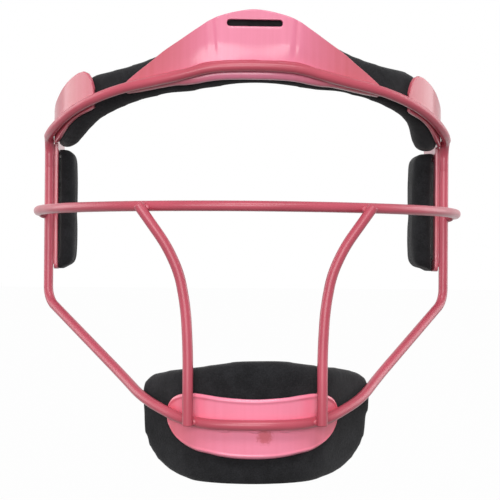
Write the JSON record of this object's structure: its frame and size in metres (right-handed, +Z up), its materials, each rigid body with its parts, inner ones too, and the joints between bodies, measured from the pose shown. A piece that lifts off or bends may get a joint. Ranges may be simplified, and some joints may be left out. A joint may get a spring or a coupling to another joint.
{
  "type": "softball face guard",
  "caption": "Welded wire face guard with sheet-steel brow, side and chin plates and removable foam pads, open in front of the eyes and mouth.",
  "frame": {"origin": "middle of the wearer's head: halfway between the cage's two side runs, level with the eye bar", "axes": "+X across the face, -Y forwards away from the face, +Z up"},
  "size_m": [0.2196, 0.1364, 0.2204],
  "materials": {
    "cage": "glossy pink powder coat on steel wire",
    "plate": "glossy pink powder coat on sheet steel",
    "weld": "coated weld bead",
    "hook_patch": "black hook tape",
    "pad_cover": "black brushed loop cloth",
    "pad_foam": "soft black foam"
  },
  "bodies": {
    "cage": {"brow_wire": "cage", "jaw_wire": "cage", "eye_bar": "cage", "right_upright": "cage", "left_upright": "cage", "brow_plate": "plate", "right_side_plate": "plate", "left_side_plate": "plate", "chin_plate": "plate", "brow_seam_weld": "weld", "eye_bar_welds": "weld", "upright_welds": "weld", "side_plate_welds": "weld", "chin_plate_welds": "weld", "brow_hook_patch": "hook_patch", "right_side_hook_patch": "hook_patch", "left_side_hook_patch": "hook_patch", "chin_hook_patch": "hook_patch"},
    "forehead_pad": {"forehead_pad_cover": "pad_cover", "forehead_pad_foam": "pad_foam"},
    "right_cheek_pad": {"right_cheek_pad_cover": "pad_cover", "right_cheek_pad_foam": "pad_foam"},
    "left_cheek_pad": {"left_cheek_pad_cover": "pad_cover", "left_cheek_pad_foam": "pad_foam"},
    "chin_pad": {"chin_pad_cover": "pad_cover", "chin_pad_foam": "pad_foam"}
  },
  "joints": [
    {"name": "forehead_pad_pull", "type": "slide", "parent": "cage", "child": "forehead_pad", "axis": [0, 1, 0], "range_m": [0, 0.025]},
    {"name": "right_cheek_pad_pull", "type": "slide", "parent": "cage", "child": "right_cheek_pad", "axis": [-1, 0, 0], "range_m": [0, 0.02]},
    {"name": "left_cheek_pad_pull", "type": "slide", "parent": "cage", "child": "left_cheek_pad", "axis": [1, 0, 0], "range_m": [0, 0.02]},
    {"name": "chin_pad_pull", "type": "slide", "parent": "cage", "child": "chin_pad", "axis": [0, 1, 0], "range_m": [0, 0.025]}
  ]
}
